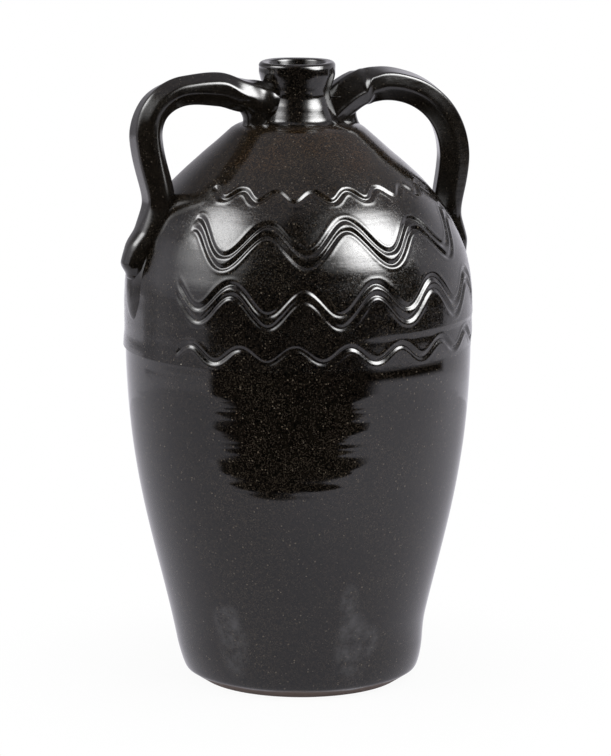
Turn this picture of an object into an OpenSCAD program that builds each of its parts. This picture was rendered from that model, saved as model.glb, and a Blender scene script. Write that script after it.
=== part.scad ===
// Two-handled stoneware jug, thrown in two sections that are joined at the belly.
// The origin is the centre of the resting face, +Z is up and the handles lie along X.
// The front of the jug faces -Y. Lengths are in millimetres.

/* [Lower section] */
// Diameter of the flat face that the jug stands on
rest_d = 100; // [88:1:108]
// Diameter above the bevel of the foot
foot_d = 120; // [112:1:132]
// Height of the bevel of the foot
bevel_h = 7; // [4:0.5:10]
// Thickness of the floor
floor_t = 10; // [7:0.5:13]
// Radius where the floor turns up into the wall, inside
floor_round = 20; // [12:1:28]
// Thickness of the thrown wall in both sections
wall_t = 8; // [7.5:0.5:10]
// Height of the joint between the two sections
seam_z = 172; // [150:1:190]

/* [Upper section] */
// Widest diameter of the jug
belly_d = 176.4; // [160:0.2:196]
// How far the upper section stands out over the lower one
seam_step = 0.8; // [0.2:0.1:1.2]
// Height of the straight belly above the joint
belly_h = 21; // [12:1:34]
// Height of the shoulder, from the belly to the neck
shoulder_h = 94; // [80:1:110]
// Diameter of the flat seat that the neck stands on
seat_d = 55; // [48:1:62]
// Diameter of the opening in the shoulder, under the neck
shoulder_open_d = 34; // [28:1:40]

/* [Combed waves] */
// Width of a groove that one tooth of the comb draws
comb_w = 2.5; // [1.6:0.1:3]
// Depth of the grooves
comb_depth = 1.2; // [0.6:0.1:1.5]
// Distance between the two grooves of a double wave
comb_gap = 6; // [5:0.1:8]
// Rise and fall of the broad wave on the shoulder, from its middle
wave_swing = 8.5; // [5:0.1:10]
// Angle at which the waves end, to each side of the front
wave_end = 61; // [40:1:66]

/* [Joint between the sections] */
// Width of the ridge under the upper section
ridge_w = 2.5; // [2:0.5:3]
// Height of the ridge
ridge_h = 4; // [2.5:0.5:7]
// Thickness of the slip round the ridge
slip_t = 1; // [0.5:0.1:1.2]

/* [Neck] */
// Height of the neck above its seat
neck_h = 28; // [24:0.5:36]
// Diameter of the neck at its waist
waist_d = 31.8; // [29:0.2:36]
// Height of the waist above the seat
waist_h = 11; // [8:0.5:13]
// Diameter of the rim
rim_d = 38.4; // [36:0.2:44]
// Height of the upright band of the rim, up to the lip's crest
rim_h = 9; // [7:0.5:11]
// Radius of the lip's outer edge
lip_round = 2.6; // [1.5:0.1:3.4]
// Depth over which the lip flares into the mouth
flare_h = 4.4; // [2:0.1:6]
// Diameter of the mouth's straight bore
mouth_d = 24; // [20:0.5:26]

/* [Left handle] */
// Height of the strap's upper end above the neck's seat
left_root_h = 9; // [6:0.5:12]
// Height that the strap's inner corner is drawn to, above the neck's seat
left_crown_h = 21; // [16:0.5:25]
// Drop from the inner corner to the outer one
left_corner_drop = 3; // [0:0.5:6]
// Drop from the outer corner to the upright leg of the strap
left_leg_drop = 25; // [20:0.5:32]
// Distance of the leg from the axis of the jug
left_reach = 81; // [76:1:90]
// Thickness of the strap where it leaves the neck
left_root_t = 16.5; // [13:0.5:18]
// Thickness of the strap past its crown
left_strap_t = 12.5; // [10:0.5:15]
// Width of the strap
left_strap_w = 20; // [17:0.5:24]
// Distance of the wad under the strap from the axis of the jug
left_wad_reach = 21; // [18:0.5:25]
// Height of the pad over the strap's lower end, above the shoulder
left_pad_h = 8; // [6:0.5:9.5]

/* [Right handle] */
// Height of the strap's upper end above the neck's seat, below it when negative
right_root_h = -2; // [-4:0.5:4]
// Height that the strap's inner corner is drawn to, above the neck's seat
right_crown_h = 28; // [22:0.5:32]
// Drop from the inner corner to the outer one
right_corner_drop = 11; // [6:0.5:14]
// Drop from the outer corner to the upright leg of the strap
right_leg_drop = 41; // [34:0.5:46]
// Distance of the leg from the axis of the jug
right_reach = 84; // [78:1:92]
// Thickness of the strap where it leaves the neck
right_root_t = 17; // [14:0.5:19]
// Thickness of the strap past its crown
right_strap_t = 14.5; // [11:0.5:16]
// Width of the strap
right_strap_w = 21; // [17:0.5:24]
// Distance of the wad under the strap from the axis of the jug
right_wad_reach = 26; // [23:0.5:29]
// Height of the pad over the strap's lower end, above the shoulder
right_pad_h = 5; // [4:0.5:9.5]

/* [Wads and pads] */
// Diameter of a wad where it meets the strap
wad_d = 13; // [10:0.5:15]
// Diameter of a wad's foot inside the shoulder
wad_foot_d = 18; // [14:0.5:21]
// Depth of a wad's foot below the neck's seat, before the shoulder trims it
wad_foot_depth = 14; // [12:0.5:18]
// Length of a pad along the shoulder
pad_l = 35; // [28:0.5:42]
// Width of a pad
pad_w = 22; // [20:0.5:26]

/* [Hidden] */

// Steps in which curves are drawn, and sides of a strap
wall_steps = 14;
neck_steps = 6;
strap_steps = 10;
tail_steps = 6;
strap_sides = 20;
pad_steps = 18;
wave_steps = 8;
round_fn = 96;

glaze = [0.13, 0.12, 0.09];
bare_clay = [0.58, 0.45, 0.38];

// Radii and heights that the pieces share
rest_r = rest_d / 2;
foot_r = foot_d / 2;
belly_r = belly_d / 2;
lower_top_r = belly_r - seam_step;
seat_r = seat_d / 2;
waist_r = waist_d / 2;
rim_r = rim_d / 2;
mouth_r = mouth_d / 2;
belly_z = seam_z + belly_h;
seat_z = belly_z + shoulder_h;
rim_z = seat_z + neck_h;

// The ridge and its groove stand in the middle of the rims' common width
joint_r = (lower_top_r + belly_r - wall_t) / 2;
ridge_in_r = joint_r - ridge_w / 2;
ridge_out_r = joint_r + ridge_w / 2;

// Corners of the curves, as shares of their width and of their height
lower_wall_shares = [[0, 0], [0.34, 0.34], [0.955, 0.535], [1, 1]];
shoulder_shares = [[1, 0], [1, 0.54], [0.45, 0.72], [0, 1]];
neck_foot_shares = [[1, 0], [0.45, 0.4], [0, 0.55], [0, 1]];
neck_rim_shares = [[0, 0], [0, 0.55], [1, 0.35], [1, 1]];

// Where the inner wall leaves the floor's rounding, and how full that rounding is
floor_turn_share = 0.1;
floor_full_share = 0.6;

// How far along the crown its inner corner lies, for each strap
left_run_share = 0.65;
right_run_share = 0.27;

// How tightly a strap's leg bends, above and below
leg_top_share = 0.35;
leg_foot_share = 0.06;

// Places along the shoulder curve, from the belly up: the strap's landing, its end and the pad
left_land_share = 0.42;
right_land_share = 0.32;
tail_end_share = 0.22;
pad_place_share = 0.19;

// How high a strap's middle lies over the shoulder, and how slim its end is, of its thickness and width
left_lift_share = 0.2;
right_lift_share = 0.12;
tail_lift_share = 0.12;
tail_thin_share = 0.64;
tail_slim_share = 0.68;

// Places of the waves along the shoulder curve, and of the lowest one down the straight belly
top_wave_share = 0.566;
shoulder_wave_share = 0.328;
belly_wave_share = 0.08;
low_wave_share = 0.62;

// Swing of the other waves, as shares of the broad one, and of the lowest wave as a share of the belly
top_swing_share = 0.35;
belly_swing_share = 0.8;
low_swing_share = 0.17;

// Waves in a whole turn of the jug, their start in degrees and their lines, from the top down
wave_counts = [22, 12, 15, 20];
wave_starts = [23, 109, 0, 149];
wave_lines = [1, 2, 2, 1];

// A wave wanders up and down a little over the turn, and its cutter stands out over the wall
wander_count = 5;
wander_share = 0.15;
comb_over_share = 0.5;

// How far out in the neck a strap starts, of the waist's radius
root_start_share = 0.9;

// Points of a cubic curve, its direction, and points beside it
function curve_at(c, t) = pow(1 - t, 3) * c[0] + 3 * t * pow(1 - t, 2) * c[1]
    + 3 * t * t * (1 - t) * c[2] + pow(t, 3) * c[3];
function curve_slope(c, t) = pow(1 - t, 2) * (c[1] - c[0]) + 2 * t * (1 - t) * (c[2] - c[1])
    + t * t * (c[3] - c[2]);
function curve_way(c, t) = curve_slope(c, t) / norm(curve_slope(c, t));
function turned(v) = [-v[1], v[0]];
function beside(c, t, gap) = curve_at(c, t) + gap * turned(curve_way(c, t));
function curve_points(c, steps) = [for (i = [0:steps]) curve_at(c, i / steps)];
function later_points(c, steps) = [for (i = [1:steps]) curve_at(c, i / steps)];
function reversed(list) = [for (i = [len(list) - 1:-1:0]) list[i]];
function between(a, b, t) = a + (b - a) * t;

// Corners of a curve between two radii and two heights
function spread(shares, inner_r, outer_r, low_z, high_z) =
    [for (s = shares) [between(inner_r, outer_r, s[0]), between(low_z, high_z, s[1])]];

lower_wall = spread(lower_wall_shares, foot_r, lower_top_r, bevel_h, seam_z);
shoulder = spread(shoulder_shares, seat_r, belly_r, belly_z, seat_z);
neck_foot = spread(neck_foot_shares, waist_r, seat_r, seat_z, seat_z + waist_h);
neck_rim = spread(neck_rim_shares, waist_r, rim_r, seat_z + waist_h, rim_z - rim_h);

// The outer wall from the straight belly up over the shoulder, at a share of the shoulder curve
function wall_at(t) = t < 0 ? shoulder[0] + 3 * t * (shoulder[1] - shoulder[0]) : curve_at(shoulder, t);
function wall_way(t) = curve_way(shoulder, max(t, 0));
function wall_speed(t) = 3 * norm(curve_slope(shoulder, max(t, 0)));

// Middle and swing of each wave, from the top down
wave_places = [top_wave_share, shoulder_wave_share, belly_wave_share,
    -low_wave_share * belly_h / wall_speed(0)];
wave_swings = [top_swing_share * wave_swing, wave_swing, belly_swing_share * wave_swing,
    low_swing_share * belly_h];

// Outer outline of the neck above its seat, the lip's outer edge and its flare into the mouth
neck_line = concat(later_points(neck_foot, neck_steps), later_points(neck_rim, neck_steps));
flare_w = rim_r - lip_round - mouth_r;
lip_line = [for (i = [0:neck_steps]) let (a = 90 * i / neck_steps)
    [rim_r - lip_round + lip_round * cos(a), rim_z - lip_round + lip_round * sin(a)]];
flare_line = [for (i = [1:neck_steps]) let (a = 90 * i / neck_steps)
    [mouth_r + flare_w * (1 - sin(a)), rim_z - flare_h * (1 - cos(a))]];

// Turns an outline of radius and height round the axis of the jug
module turned_solid(outline) {
    rotate_extrude($fn = round_fn) polygon(outline);
}

// The jug without its hollow, which trims everything that is pressed onto it
module jug_outside() {
    turned_solid(concat([[0, 0], [rest_r, 0]], curve_points(lower_wall, wall_steps),
        [[belly_r, seam_z]], curve_points(shoulder, wall_steps), neck_line, lip_line, [[0, rim_z]]));
}

// Lower thrown section: floor, bevelled foot, wall and grooved rim
module lower_body() {
    groove_in_r = ridge_in_r - slip_t;
    groove_out_r = ridge_out_r + slip_t;
    groove_z = seam_z - ridge_h - slip_t;
    inner_wall = [for (i = [0:wall_steps])
        beside(lower_wall, between(floor_turn_share, 1, i / wall_steps), wall_t)];
    turn_top = inner_wall[0];
    turn_corner = [turn_top[0], floor_t];
    turn_end = [turn_top[0] - floor_round, floor_t];
    floor_turn = [turn_end, between(turn_end, turn_corner, floor_full_share),
        between(turn_top, turn_corner, floor_full_share), turn_top];
    color(glaze)
        turned_solid(concat([[0, 0], [rest_r, 0]], curve_points(lower_wall, wall_steps),
            [[groove_out_r, seam_z], [groove_out_r, groove_z], [groove_in_r, groove_z],
            [groove_in_r, seam_z], [lower_top_r - wall_t, seam_z]],
            reversed([for (i = [1:wall_steps - 1]) inner_wall[i]]),
            reversed(curve_points(floor_turn, wall_steps)), [[0, floor_t]]));
}

// Ring of slip that lines the groove round the upper section's ridge
module seam_slip() {
    slip_z = seam_z - ridge_h - slip_t;
    color(bare_clay)
        turned_solid([[ridge_in_r - slip_t, slip_z], [ridge_out_r + slip_t, slip_z],
            [ridge_out_r + slip_t, seam_z], [ridge_out_r, seam_z], [ridge_out_r, seam_z - ridge_h],
            [ridge_in_r, seam_z - ridge_h], [ridge_in_r, seam_z], [ridge_in_r - slip_t, seam_z]]);
}

// Closed skin over a list of rings with equal counts of points
module skin(rings) {
    last = len(rings) - 1;
    count = len(rings[0]);
    points = [for (ring = rings) each ring];
    sides = [for (r = [0:last - 1], i = [0:count - 1])
        let (a = r * count + i, b = r * count + (i + 1) % count)
        each [[a, b, a + count], [b, b + count, a + count]]];
    first_cap = [for (i = [1:count - 2]) [0, i + 1, i]];
    end = last * count;
    last_cap = [for (i = [1:count - 2]) [end, end + i, end + i + 1]];
    polyhedron(points, concat(sides, first_cap, last_cap));
}

// A point over or under the outer wall, at a share of the shoulder curve and an angle from the front
function wall_spot(t, angle, lift) = let (p = wall_at(t) - lift * turned(wall_way(t)))
    [p[0] * sin(angle), -p[0] * cos(angle), p[1]];

// Height of a wave over its middle at an angle, and how steeply it climbs there
function wave_rise(wave, angle) = wave_swings[wave] * (sin(wave_counts[wave] * angle + wave_starts[wave])
    + wander_share * sin(wander_count * angle + wave_starts[wave]));
function wave_climb(wave, angle) = wave_swings[wave]
    * (wave_counts[wave] * cos(wave_counts[wave] * angle + wave_starts[wave])
    + wander_share * wander_count * cos(wander_count * angle + wave_starts[wave]));

// The pointed section of the cutter at an angle, across the line that it follows
function groove_ring(wave, gap, angle) =
    let (
        place = wave_places[wave] + (wave_rise(wave, angle) + gap) / wall_speed(wave_places[wave]),
        radius = wall_at(place)[0],
        steep = wave_climb(wave, angle) / radius,
        reach = comb_w / 2 * (1 + comb_over_share) / norm([1, steep]),
        side_t = reach / wall_speed(place),
        side_angle = reach * steep / radius * 180 / PI,
        over = comb_depth * comb_over_share
    )
    [wall_spot(place, angle, -comb_depth), wall_spot(place - side_t, angle + side_angle, over),
        wall_spot(place + side_t, angle - side_angle, over)];

// Cutters for the combed waves on the front
module wave_cutters() {
    for (wave = [0:len(wave_counts) - 1], line = [1:wave_lines[wave]]) {
        steps = ceil(2 * wave_end / 360 * wave_counts[wave] * wave_steps);
        gap = (line - (wave_lines[wave] + 1) / 2) * comb_gap;
        skin([for (i = [0:steps]) groove_ring(wave, gap, between(-wave_end, wave_end, i / steps))]);
    }
}

// Upper thrown section: ridge, belly and shoulder with the combed waves, open at the top
module upper_body() {
    inner_shoulder = [for (i = [0:wall_steps]) beside(shoulder, i / wall_steps, wall_t)];
    color(glaze)
        difference() {
            turned_solid(concat([[belly_r, seam_z]], curve_points(shoulder, wall_steps),
                [[shoulder_open_d / 2, seat_z]], reversed(inner_shoulder),
                [[belly_r - wall_t, seam_z], [ridge_in_r, seam_z], [ridge_in_r, seam_z - ridge_h],
                [ridge_out_r, seam_z - ridge_h], [ridge_out_r, seam_z]]));
            wave_cutters();
        }
}

// Neck with its rim, rolled lip and round mouth
module neck_collar() {
    color(glaze)
        turned_solid(concat([[mouth_r, seat_z], [seat_r, seat_z]], neck_line, lip_line, flare_line));
}

// One ring of a strap: its middle, its direction, half its thickness and half its width
function strap_ring(middle, way, half_t, half_w) = [for (i = [0:strap_sides - 1])
    let (a = 360 * i / strap_sides, p = middle + half_t * cos(a) * turned(way))
    [p[0], half_w * sin(a), p[1]]];

// Rings along a strap, on the side of +X: over the crown, down the leg and along the shoulder
function strap_rings(root_h, crown_h, corner_drop, leg_drop, reach, root_t, strap_t, strap_w,
        run_share, land_share, lift_share) =
    let (
        half_t = strap_t / 2,
        half_w = strap_w / 2,
        crown_z = seat_z + crown_h,
        corner_z = crown_z - corner_drop,
        root = [waist_r * root_start_share, seat_z + root_h],
        crown = [root, [between(root[0], reach, run_share), crown_z], [reach, corner_z],
            [reach, corner_z - leg_drop]],
        landing = beside(shoulder, land_share, -strap_t * lift_share),
        leg_l = norm(landing - crown[3]),
        leg = [crown[3], crown[3] - [0, leg_l * leg_top_share],
            landing + curve_way(shoulder, land_share) * leg_l * leg_foot_share, landing]
    )
    concat(
        [for (i = [0:strap_steps]) let (t = i / strap_steps)
            strap_ring(curve_at(crown, t), curve_way(crown, t),
                between(half_t, root_t / 2, pow(1 - t, 2)), half_w)],
        [for (i = [1:tail_steps]) let (t = i / tail_steps)
            strap_ring(curve_at(leg, t), curve_way(leg, t), half_t, half_w)],
        [for (i = [1:tail_steps]) let (
            t = i / tail_steps,
            place = between(land_share, tail_end_share, t),
            lift = strap_t * between(lift_share, tail_lift_share, t))
            strap_ring(beside(shoulder, place, -lift), -curve_way(shoulder, place),
                half_t * between(1, tail_thin_share, t), half_w * between(1, tail_slim_share, t))]);

// The two straps before the jug trims them
module left_strap() {
    mirror([1, 0, 0])
        skin(strap_rings(left_root_h, left_crown_h, left_corner_drop, left_leg_drop, left_reach,
            left_root_t, left_strap_t, left_strap_w, left_run_share, left_land_share, left_lift_share));
}

module right_strap() {
    skin(strap_rings(right_root_h, right_crown_h, right_corner_drop, right_leg_drop, right_reach,
        right_root_t, right_strap_t, right_strap_w, right_run_share, right_land_share, right_lift_share));
}

// Pulled strap handles, pressed onto the neck and the shoulder
module left_handle() {
    color(glaze)
        difference() {
            left_strap();
            jug_outside();
        }
}

module right_handle() {
    color(glaze)
        difference() {
            right_strap();
            jug_outside();
        }
}

// A wad before it is trimmed: a short column from inside the shoulder up into the strap
module wad_column(wad_reach, top_h) {
    translate([wad_reach, 0, seat_z - wad_foot_depth])
        cylinder(h = wad_foot_depth + top_h, d1 = wad_foot_d, d2 = wad_d, $fn = round_fn);
}

// Wads of clay in the corner under each strap's upper end
module left_neck_wad() {
    color(glaze)
        difference() {
            mirror([1, 0, 0]) wad_column(left_wad_reach, left_root_h);
            jug_outside();
            left_strap();
        }
}

module right_neck_wad() {
    color(glaze)
        difference() {
            wad_column(right_wad_reach, right_root_h + right_root_t / 2);
            jug_outside();
            right_strap();
        }
}

// A pad before it is trimmed: a long egg that lies half sunk along the shoulder, on the side of +X
module pad_egg(pad_h) {
    sink = pad_w / 2 - pad_h;
    middle = beside(shoulder, pad_place_share, sink);
    way = curve_way(shoulder, pad_place_share);
    outline = [for (i = [0:pad_steps]) let (a = 180 * i / pad_steps)
        [pad_w / 2 * sin(a), pad_l / 2 * cos(a)]];
    translate([middle[0], 0, middle[1]])
        rotate([0, atan2(way[0], way[1]), 0])
            turned_solid(outline);
}

// Pads of clay pressed over each strap's lower end
module left_tail_pad() {
    color(glaze)
        difference() {
            mirror([1, 0, 0]) pad_egg(left_pad_h);
            jug_outside();
            left_strap();
        }
}

module right_tail_pad() {
    color(glaze)
        difference() {
            pad_egg(right_pad_h);
            jug_outside();
            right_strap();
        }
}

lower_body();
seam_slip();
upper_body();
neck_collar();
left_handle();
right_handle();
left_neck_wad();
right_neck_wad();
left_tail_pad();
right_tail_pad();
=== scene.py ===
from math import cos, radians, sin, tau

import bpy
import numpy as np
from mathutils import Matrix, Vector


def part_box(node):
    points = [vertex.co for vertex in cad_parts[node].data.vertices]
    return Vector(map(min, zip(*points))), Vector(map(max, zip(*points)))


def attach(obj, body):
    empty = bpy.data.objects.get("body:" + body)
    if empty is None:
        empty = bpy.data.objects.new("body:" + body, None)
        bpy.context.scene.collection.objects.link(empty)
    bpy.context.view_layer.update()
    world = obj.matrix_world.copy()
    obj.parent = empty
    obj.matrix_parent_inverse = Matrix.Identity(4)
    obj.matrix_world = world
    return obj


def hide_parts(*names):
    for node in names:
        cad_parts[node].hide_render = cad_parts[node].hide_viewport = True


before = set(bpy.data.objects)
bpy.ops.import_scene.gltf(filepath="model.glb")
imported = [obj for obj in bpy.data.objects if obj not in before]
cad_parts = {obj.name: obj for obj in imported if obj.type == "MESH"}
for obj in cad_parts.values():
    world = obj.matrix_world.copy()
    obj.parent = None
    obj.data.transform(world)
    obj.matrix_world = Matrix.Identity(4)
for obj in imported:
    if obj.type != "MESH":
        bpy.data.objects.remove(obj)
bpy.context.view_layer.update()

# Lower section of the body.
# A stoneware cylinder thrown on the wheel and swelled to the belly, with the thrower's rings in its wall.
# Its foot was cut at a slant, and the dark glaze runs down to the bare clay edge that it stands on.
lower_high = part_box("lower_body")[1]
seam_z = lower_high.z
lower_top_r = lower_high.x
rest_r = 0.0497
foot_r = 0.060
bevel_h = 0.007
slab_r = 0.0577
slab_h = 0.0052
slab_bulge = 0.0012
foot_lean = (0.0009, 0.0045)
foot_curve_points = 30
floor_t = 0.010
floor_round = 0.020
wall_t = 0.008
skin_t = wall_t / 4
lower_wall_shares = [(0, 0), (0.34, 0.34), (0.955, 0.535), (1, 1)]
floor_turn_share = 0.1
floor_full_share = 0.6
lower_spacing = 0.0010
inner_spacing = 0.006
merge_gap = 0.00001
crease_angle = 55
lower_columns = 340


def spread(shares, inner_r, outer_r, low_z, high_z):
    """Corners of a curve between two radii and two heights."""
    return [(inner_r + (outer_r - inner_r) * a, low_z + (high_z - low_z) * b) for a, b in shares]


def curve_line(corners, start=0.0, end=1.0, steps=400):
    """Points of a cubic curve."""
    t = np.linspace(start, end, steps)[:, None]
    a, b, c, d = (np.array(corner, float) for corner in corners)
    return (1 - t) ** 3 * a + 3 * t * (1 - t) ** 2 * b + 3 * t ** 2 * (1 - t) * c + t ** 3 * d


def line_ways(line):
    """How far each point of a line lies along it."""
    return np.concatenate([[0], np.cumsum(np.linalg.norm(np.diff(line, axis=0), axis=1))])


def line_directions(line):
    """Unit directions along a line."""
    ways = np.gradient(line, axis=0)
    return ways / np.linalg.norm(ways, axis=1)[:, None]


def evenly(line, spacing):
    """The same line with its points evenly spaced."""
    ways = line_ways(line)
    places = np.linspace(0, ways[-1], max(2, round(ways[-1] / spacing) + 1))
    return np.stack([np.interp(places, ways, line[:, i]) for i in range(line.shape[1])], axis=1)


def beside(line, gap):
    """The same line moved to its left by a gap."""
    direction = line_directions(line)
    return line + gap * np.stack([-direction[:, 1], direction[:, 0]], axis=1)


def straight(start, end, spacing):
    """A straight line of evenly spaced points."""
    return evenly(np.array([start, end], float), spacing)


def joined(*lines):
    """Lines put end to end, without the doubled points between them."""
    points = np.concatenate(lines)
    apart = np.linalg.norm(np.diff(points, axis=0), axis=1) > merge_gap
    return points[np.concatenate([[True], apart])]


def thrown(name, outline, turns):
    """Spins the section of a wall round the axis of the jug, in turns of degrees and steps.

    The first turn is centred on the front of the jug.
    """
    bpy.ops.object.select_all(action="DESELECT")
    bpy.ops.mesh.primitive_circle_add(vertices=len(outline))
    piece = bpy.context.object
    piece.name = name
    start = radians(turns[0][0] / 2)
    for vertex, (radius, height) in zip(piece.data.vertices, outline):
        vertex.co = (radius * sin(start), -radius * cos(start), height)
    bpy.ops.object.mode_set(mode="EDIT")
    bpy.ops.mesh.select_all(action="SELECT")
    for degrees, steps in turns:
        bpy.ops.mesh.spin(steps=steps, angle=radians(degrees), center=(0, 0, 0), axis=(0, 0, 1))
    bpy.ops.mesh.select_all(action="SELECT")
    bpy.ops.mesh.remove_doubles(threshold=merge_gap)
    bpy.ops.mesh.normals_make_consistent(inside=False)
    bpy.ops.object.mode_set(mode="OBJECT")
    bpy.ops.object.shade_smooth_by_angle(angle=radians(crease_angle))
    return piece


def get_places(piece):
    """All points of a piece's mesh."""
    places = np.empty(3 * len(piece.data.vertices))
    piece.data.vertices.foreach_get("co", places)
    return places.reshape(-1, 3)


def set_places(piece, places):
    """Moves all points of a piece's mesh."""
    piece.data.vertices.foreach_set("co", np.ascontiguousarray(places, dtype=np.float32).ravel())
    piece.data.update()


def turn_and_radius(places):
    """The turn of points from the front of the jug towards its right, and their distance from its axis."""
    return np.arctan2(places[:, 0], -places[:, 1]), np.hypot(places[:, 0], places[:, 1])


def smooth_step(low, high, value):
    """0 below low, 1 above high and a soft rise between them."""
    share = np.clip((value - low) / (high - low), 0, 1)
    return share * share * (3 - 2 * share)


def worked(piece, outer_line, relief):
    """Moves the outside of a thrown wall in or out, by a relief over turn, height and outer radius."""
    places = get_places(piece)
    turn, radius = turn_and_radius(places)
    height = places[:, 2].copy()
    outer_r = np.interp(height, outer_line[:, 1], outer_line[:, 0])
    direction = line_directions(outer_line)
    out_r = np.interp(height, outer_line[:, 1], direction[:, 1])
    out_z = np.interp(height, outer_line[:, 1], -direction[:, 0])
    outside = (radius > outer_r - skin_t) & (height >= outer_line[0, 1]) & (height <= outer_line[-1, 1])
    depth = np.where(outside, relief(turn, height, outer_r), 0)
    radius = radius + depth * out_r
    places[:, 0] = radius * np.sin(turn)
    places[:, 1] = -radius * np.cos(turn)
    places[:, 2] = height + depth * out_z
    set_places(piece, places)


def throwing_rings(turn, height, rings):
    """Marks of the thrower's fingers.

    Each ring has its pitch, its depth, its climbs in one turn and a height that it passes.
    """
    return sum(
        deep * np.sin(tau * (height - at) / pitch + climbs * turn)
        for pitch, deep, climbs, at in rings
    )


def bump_at(turn, height, outer_r, turn_at, height_at, width, tall):
    """A soft round rise on the wall at a turn in degrees, 1 at its middle."""
    across = (np.mod(turn - radians(turn_at) + np.pi, tau) - np.pi) * outer_r / width
    return np.exp(-(across ** 2) - ((height - height_at) / tall) ** 2)


# Each ring of the throwing is a shallow barrel, with a crease where the next one begins.
# The rings show in the upper part of the section and are deepest a little left of the front.
ring_pitch = 0.0185
ring_bulge = 0.00012
ring_crease_z = 0.152
ring_start_z = 0.108
ring_full_z = 0.122
ring_front = radians(-20)
ring_spread = 0.75
ring_least = 0.25
fine_rings = [(0.0057, 0.000008, 1, 0.1)]
# The wall is a little out of round above the foot
oval_depth = 0.00022
oval_start = 0.7
oval_full_z = 0.08
seam_fade_h = 0.006
# Runs of thick glaze near the foot, each made of round rises: turn in degrees, place up the wall,
# half width and half height of each
glaze_runs = [
    [(4, 0.026, 0.009, 0.024), (1, 0.052, 0.004, 0.010), (13, 0.030, 0.006, 0.007)],
    [(-50, 0.028, 0.009, 0.018), (-53, 0.042, 0.006, 0.007)],
    [(150, 0.040, 0.010, 0.016), (157, 0.058, 0.005, 0.010)],
]
run_edge = (0.22, 0.80)
run_t = 0.00022
# The foot was cut back less on the right than on the left
foot_full_turn = radians(55)
foot_full_w = 0.0028
foot_full_power = 1.5
foot_full_low = 0.004
foot_full_high = 0.034
rest_edge_w = 0.006


def run_share(turn, height, outer_r):
    """1 inside the runs of thick glaze."""
    share = np.zeros_like(turn)
    for run in glaze_runs:
        rise = sum(bump_at(turn, height, outer_r, *place) for place in run)
        share = np.maximum(share, smooth_step(*run_edge, rise))
    return share


def lower_relief(turn, height, outer_r):
    """Rings, unevenness and glaze runs of the lower section."""
    front_share = ring_least + (1 - ring_least) * np.exp(-(((turn - ring_front) / ring_spread) ** 2))
    across_ring = np.mod((height - ring_crease_z) / ring_pitch, 1)
    barrels = ring_bulge * (1 - (2 * across_ring - 1) ** 2) * smooth_step(ring_start_z, ring_full_z, height)
    relief = (barrels + throwing_rings(turn, height, fine_rings)) * front_share
    relief = relief + oval_depth * np.sin(2 * turn + oval_start) * smooth_step(0, oval_full_z, height)
    relief = relief + run_t * run_share(turn, height, outer_r)
    fade = smooth_step(slab_h, 2 * bevel_h, height) * smooth_step(seam_z, seam_z - seam_fade_h, height)
    return relief * fade


lower_corners = spread(lower_wall_shares, foot_r, lower_top_r, bevel_h, seam_z)
lower_curve = curve_line(lower_corners)
foot_top = lower_curve[foot_curve_points]
foot_round = [
    (slab_r, slab_h),
    (slab_r + slab_bulge, slab_h + slab_bulge),
    foot_top - foot_lean,
    foot_top,
]
lower_outer = joined(curve_line(foot_round), lower_curve[foot_curve_points + 1:])
lower_outer = evenly(lower_outer, lower_spacing)
lower_inner = evenly(beside(curve_line(lower_corners, floor_turn_share), wall_t), inner_spacing)
turn_top = lower_inner[0]
turn_corner = np.array([turn_top[0], floor_t])
turn_end = turn_corner - (floor_round, 0)
floor_turn = [
    turn_end,
    turn_end + (turn_corner - turn_end) * floor_full_share,
    turn_top + (turn_corner - turn_top) * floor_full_share,
    turn_top,
]
lower_outline = joined(
    straight((0, 0), (rest_r, 0), inner_spacing),
    straight((rest_r, 0), (slab_r, slab_h), lower_spacing),
    lower_outer,
    lower_inner[::-1],
    evenly(curve_line(floor_turn), inner_spacing)[::-1],
    straight(turn_end, (0, floor_t), inner_spacing),
)
lower_section = thrown("lower_section", lower_outline, [(360, lower_columns)])
worked(lower_section, lower_outer, lower_relief)
foot_places = get_places(lower_section)
foot_turn, foot_far = turn_and_radius(foot_places)
foot_share = (0.5 + 0.5 * np.cos(foot_turn - foot_full_turn)) ** foot_full_power
foot_share = foot_share * smooth_step(foot_full_high, foot_full_low, foot_places[:, 2])
foot_share = foot_share * smooth_step(rest_r - rest_edge_w, rest_r, foot_far)
foot_places[:, 0] += foot_full_w * foot_share * np.sin(foot_turn)
foot_places[:, 1] -= foot_full_w * foot_share * np.cos(foot_turn)
set_places(lower_section, foot_places)
foot_far = turn_and_radius(foot_places)[1]
run_mark = lower_section.data.attributes.new("thick_glaze", "FLOAT", "POINT")
run_mark.data.foreach_set("value", run_share(foot_turn, foot_places[:, 2], foot_far).astype(np.float32))


def node(tree, kind, inputs=None, **settings):
    """Adds a shader node. Its inputs are plain values or sockets of other nodes."""
    made = tree.nodes.new(kind)
    for name, value in settings.items():
        setattr(made, name, value)
    for key, value in (inputs or {}).items():
        if isinstance(value, bpy.types.NodeSocket):
            tree.links.new(value, made.inputs[key])
        else:
            made.inputs[key].default_value = value
    return made


def calc(tree, operation, first, second=0.0):
    """A sum, product or like of two sockets or values."""
    return node(tree, "ShaderNodeMath", {0: first, 1: second}, operation=operation).outputs[0]


def soft_range(tree, value, low, high, start=0.0, end=1.0):
    """A soft rise from start to end while value goes from low to high."""
    return node(
        tree, "ShaderNodeMapRange",
        {"Value": value, "From Min": low, "From Max": high, "To Min": start, "To Max": end},
        interpolation_type="SMOOTHSTEP",
    ).outputs["Result"]


def between(tree, share, first, second):
    """One number that turns into another by a share."""
    return node(tree, "ShaderNodeMix", {"Factor": share, "A": first, "B": second}).outputs["Result"]


def mixed(tree, share, first, second):
    """One colour that turns into another by a share."""
    return node(
        tree, "ShaderNodeMix", {"Factor": share, "A": first, "B": second}, data_type="RGBA"
    ).outputs["Result"]


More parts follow.
